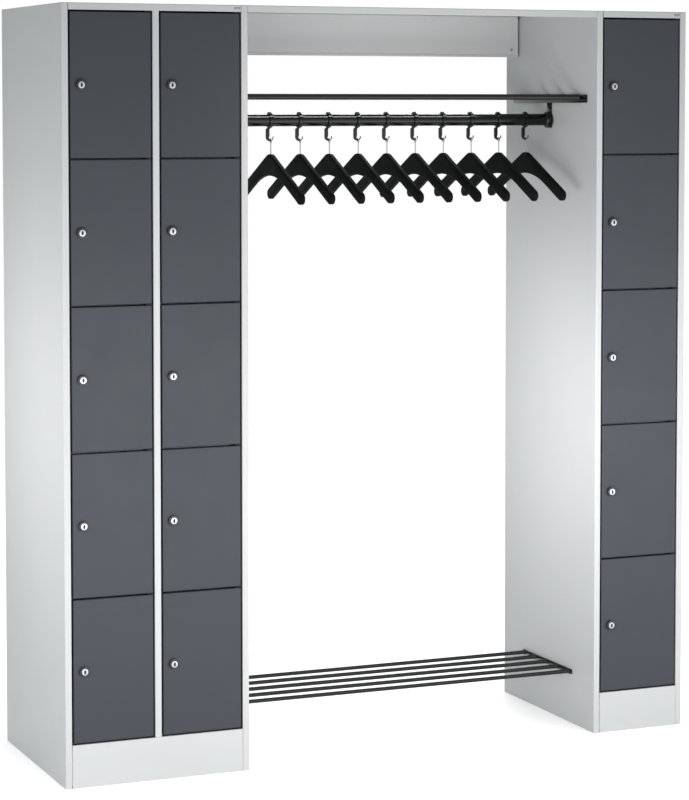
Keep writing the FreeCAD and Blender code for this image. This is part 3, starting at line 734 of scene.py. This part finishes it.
def hanger_wire(work):
    """A round eye and the straight stem below it."""
    ring = circle(work, WIRE_RADIUS, WIRE_SIDES)
    bmesh.ops.translate(work, vec=-Z_AXIS * EYE_RADIUS, verts=ring)
    bmesh.ops.spin(
        work, geom=ring + work.edges[:], cent=ORIGIN, axis=X_AXIS, angle=math.tau, steps=EYE_STEPS,
        use_merge=True,
    )
    stem = [(0, -STEM_END), (WIRE_RADIUS, -STEM_END), (WIRE_RADIUS, -EYE_RADIUS), (0, -EYE_RADIUS)]
    spun(work, stem, Z_AXIS, ORIGIN, STEM_STEPS)


def make_hanger(number, pivot):
    """One hanger and its wire. The hanger stands in for its node."""
    body = f"hanger_{number:02d}"
    arms = bmesh.new()
    hanger_plate(arms)
    bmesh.ops.translate(arms, vec=pivot - Z_AXIS * HANGER_DROP, verts=arms.verts)
    wire = bmesh.new()
    hanger_wire(wire)
    bmesh.ops.translate(wire, vec=pivot, verts=wire.verts)
    piece(f"hanger_wire_{number:02d}", wire, [WIRE_STEEL], body)
    hanger = piece(f"coat_hanger_{number:02d}", arms, [HANGER_PLASTIC], body)
    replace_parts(hanger, body)


def make_hooks_and_hangers():
    for number in HOOKS:
        pivot = Vector(JOINTS[f"hanger_{number:02d}_swing"]["pos_m"])
        make_hook(number, pivot.x - THROAT_OFFSET)
        make_hanger(number, pivot)


# Small fixings on the canopy's fascia and the header strips
FASCIA_FROM_BACK = 74.9 * MM
FASCIA_SCREW_INSET = 24.0 * MM
FASCIA_SCREW_RISE = 19.0 * MM
FASCIA_SCREW_RADIUS = 3.8 * MM
FASCIA_SCREW_HEIGHT = 2.0 * MM
HEM_FROM_BACK = 77.5 * MM
HEM_WIDTH = 7.0 * MM
HEM_STEP = 2.6 * MM
HEM_END_GAP = 5.0 * MM
HEM_TOP_GAP = 1.0 * MM
HEM_LAP = 0.3 * MM
HEM_EDGE = 1.2 * MM
HEM_FOLD = math.radians(30)
SHEET_THICKNESS = 4.5 * MM
PLATE_SIZE = Vector((16.0 * MM, 0.8 * MM, 6.0 * MM))
PLATE_INSET = 26.0 * MM
PLATE_DROP = 8.0 * MM
PLATE_EDGE = 0.3 * MM
CANOPY_LOW, CANOPY_HIGH = (Vector(corner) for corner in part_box("bay_canopy"))
TOPS_LOW, TOPS_HIGH = (Vector(corner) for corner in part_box("locker_tops"))


def fascia_screws():
    """A screw near each lower corner of the fascia."""
    work = bmesh.new()
    y = CANOPY_HIGH.y - FASCIA_FROM_BACK
    z = CANOPY_LOW.z + FASCIA_SCREW_RISE
    for x in (CANOPY_LOW.x + FASCIA_SCREW_INSET, CANOPY_HIGH.x - FASCIA_SCREW_INSET):
        socket_screw(work, Vector((x, y, z)), -Y_AXIS, FASCIA_SCREW_RADIUS, FASCIA_SCREW_HEIGHT)
    piece("fascia_screws", work, [SCREW_ZINC], "carcass")


def fascia_sheet():
    """The hemmed sheet that closes the mouth of the fascia tray, with a raised border."""
    front = CANOPY_HIGH.y - HEM_FROM_BACK
    back = front + SHEET_THICKNESS
    near = Vector((CANOPY_LOW.x + HEM_END_GAP, front, CANOPY_LOW.z - HEM_LAP))
    far = Vector((CANOPY_HIGH.x - HEM_END_GAP, back, CANOPY_HIGH.z - HEM_TOP_GAP))
    work = bmesh.new()
    plain_bar(work, near, far)
    work.normal_update()
    outside = [face for face in work.faces if face.normal.y < -FRONT_COSINE]
    bmesh.ops.inset_individual(work, faces=outside, thickness=HEM_WIDTH)
    bmesh.ops.inset_individual(work, faces=outside, thickness=HEM_STEP, depth=-HEM_STEP)
    folds = [edge for edge in work.edges if edge.calc_face_angle(0) > HEM_FOLD]
    rounded(work, folds, HEM_EDGE, segments=2)
    piece("fascia_sheet", work, [CARCASS_PAINT], "carcass")


def blank_plates():
    """A small bare plate at the right end of each header strip."""
    work = bmesh.new()
    for right in (CANOPY_LOW.x, TOPS_HIGH.x):
        centre = Vector((right - PLATE_INSET, TOPS_LOW.y, TOPS_HIGH.z - PLATE_DROP))
        rounded_bar(work, centre - PLATE_SIZE / 2, centre + PLATE_SIZE / 2, PLATE_EDGE)
    piece("blank_plates", work, [PLATE_GREY], "carcass")


# Studio
AMBIENT = 0.32
AMBIENT_TINT = (0.93, 1.0, 1.03)
WHITE = (1.0, 1.0, 1.0)
FLOOR_HALF = 30.0
FLOOR_ROUGHNESS = 0.9
FLOOR_GLOW = 0.76
FLOOR_DARK = (0.86, 0.86, 0.86)
FLOOR_LIGHT = (0.88, 0.88, 0.88)
# Painted contact shadow on the floor: how far it reaches, the openness it spans and the glow left at its darkest
CONTACT_SHADOW_REACH = 0.3
CONTACT_SHADOW_OPENNESS = (0.45, 0.95)
CONTACT_SHADOW_GLOW = 0.45
# Each softbox has a name, place, aim, width and height, spread in degrees and power in watts
SOFTBOXES = [
    ("wide_front", (0.35, -1.5, 0.66), (0.35, 0.0, 0.70), (3.2, 0.8), 180, 22.6),
    ("front_left", (-1.6, -1.6, 0.62), (-0.5, 0.0, 0.68), (0.8, 0.95), 180, 8.8),
    ("left_side", (-1.5, -0.05, 0.88), (-0.81, -0.05, 0.88), (0.5, 0.4), 180, 3.3),
    ("bay_wall", (-0.25, -0.55, 0.86), (0.56, 0.0, 0.80), (0.55, 0.6), 72, 1.25),
    ("bay_top", (0.1, -0.6, 1.5), (0.12, 0.19, 1.70), (0.8, 0.25), 110, 0.33),
    ("back_rim", (1.55, 2.8, 3.58), (0.1, 0.0, 1.3), (1.4, 0.7), 180, 60),
    ("rail_strip", (0.04, -0.0975, 1.74), (0.04, 0.0, 1.531), (0.80, 0.03), 70, 0.9),
]
GLOSS_ONLY = {"rail_strip"}
SENSOR_WIDTH = 36.0
LENS = 135.1
LENS_SHIFT = (-0.00348, -0.21)
CAMERA_PLACE = (-2.4978, -5.8855, 1.569)
CAMERA_TILT = math.radians(90 - 3.333)
CAMERA_TURN = math.radians(-22.947)


def seen_directly(tree):
    """1 for what the camera, mirrors and glass see, and 0 for diffuse light."""
    path = tree.nodes.new("ShaderNodeLightPath")
    seen = path.outputs["Is Camera Ray"]
    for name in ("Is Glossy Ray", "Is Transmission Ray"):
        either = tree.nodes.new("ShaderNodeMath")
        either.operation = "MAXIMUM"
        tree.links.new(seen, either.inputs[0])
        tree.links.new(path.outputs[name], either.inputs[1])
        seen = either.outputs["Value"]
    return seen


def level(tree, share, low, high):
    """A value that goes from low to high by a share."""
    node = tree.nodes.new("ShaderNodeMapRange")
    node.inputs["To Min"].default_value = low
    node.inputs["To Max"].default_value = high
    tree.links.new(share, node.inputs["Value"])
    return node.outputs["Result"]


def make_world():
    """A backdrop that is white to look at and gives a dimmer, faintly tinted light."""
    world = bpy.data.worlds.new("studio")
    bpy.context.scene.world = world
    world.use_nodes = True
    tree = world.node_tree
    backdrop = tree.nodes["Background"]
    seen = seen_directly(tree)
    tint = tree.nodes.new("ShaderNodeMix")
    tint.data_type = "RGBA"
    tree.links.new(seen, tint.inputs["Factor"])
    near, far = (socket for socket in tint.inputs if socket.type == "RGBA")
    near.default_value = AMBIENT_TINT + (1.0,)
    far.default_value = WHITE + (1.0,)
    mixed = next(socket for socket in tint.outputs if socket.type == "RGBA")
    tree.links.new(mixed, backdrop.inputs["Color"])
    tree.links.new(level(tree, seen, AMBIENT, 1.0), backdrop.inputs["Strength"])


def floor_paper():
    """White paper whose glow is dimmed into a painted contact shadow round where the object stands."""
    paper = Finish("floor_paper")
    paper.use("Base Color", paper.blend(paper.noise(scale=1.2), FLOOR_DARK, FLOOR_LIGHT))
    paper.set("Roughness", FLOOR_ROUGHNESS)
    paper.set("Specular IOR Level", 0.0)
    paper.set("Emission Color", WHITE + (1.0,))
    glow = level(paper.tree, seen_directly(paper.tree), 0.0, FLOOR_GLOW)
    # Painted contact shadow: the glow is dimmed where the object closes the floor in.
    contact_shadow = paper.spread(paper.openness(CONTACT_SHADOW_REACH), CONTACT_SHADOW_OPENNESS, (CONTACT_SHADOW_GLOW, 1.0))
    paper.use("Emission Strength", paper.product(glow, contact_shadow))
    return paper.material


def make_floor():
    work = bmesh.new()
    bmesh.ops.create_grid(work, x_segments=1, y_segments=1, size=FLOOR_HALF)
    mesh = bpy.data.meshes.new("studio_floor")
    work.to_mesh(mesh)
    work.free()
    mesh.materials.append(floor_paper())
    floor = bpy.data.objects.new("studio_floor", mesh)
    bpy.context.scene.collection.objects.link(floor)


def make_softboxes():
    for name, place, aim, size, spread, power in SOFTBOXES:
        data = bpy.data.lights.new(name, "AREA")
        data.shape = "RECTANGLE"
        data.size, data.size_y = size
        data.spread = math.radians(spread)
        data.energy = power
        lamp = bpy.data.objects.new(name, data)
        lamp.location = place
        lamp.rotation_euler = (Vector(aim) - Vector(place)).to_track_quat("-Z", "Y").to_euler()
        lamp.visible_camera = False
        lamp.visible_diffuse = name not in GLOSS_ONLY
        bpy.context.scene.collection.objects.link(lamp)


def make_camera():
    data = bpy.data.cameras.new("photo_camera")
    data.sensor_fit = "HORIZONTAL"
    data.sensor_width = SENSOR_WIDTH
    data.lens = LENS
    data.shift_x, data.shift_y = LENS_SHIFT
    camera = bpy.data.objects.new("photo_camera", data)
    camera.location = CAMERA_PLACE
    camera.rotation_euler = (CAMERA_TILT, 0, CAMERA_TURN)
    bpy.context.scene.collection.objects.link(camera)
    bpy.context.scene.camera = camera


# The whole unit in its studio
dress_nodes()
for column in COLUMNS:
    for row in ROWS:
        make_lock(f"{column}{row}")
rack("hat_shelf", HAT_PITCH, HAT_ROD_RADIUS, HAT_BAR_HEIGHT, HAT_ROD_LIFT)
rack("shoe_rack", SHOE_PITCH, SHOE_ROD_RADIUS, SHOE_BAR_HEIGHT, SHOE_ROD_LIFT)
coat_rail()
make_hooks_and_hangers()
fascia_screws()
fascia_sheet()
blank_plates()
make_world()
make_floor()
make_softboxes()
make_camera()
bpy.context.scene.view_settings.view_transform = "Standard"
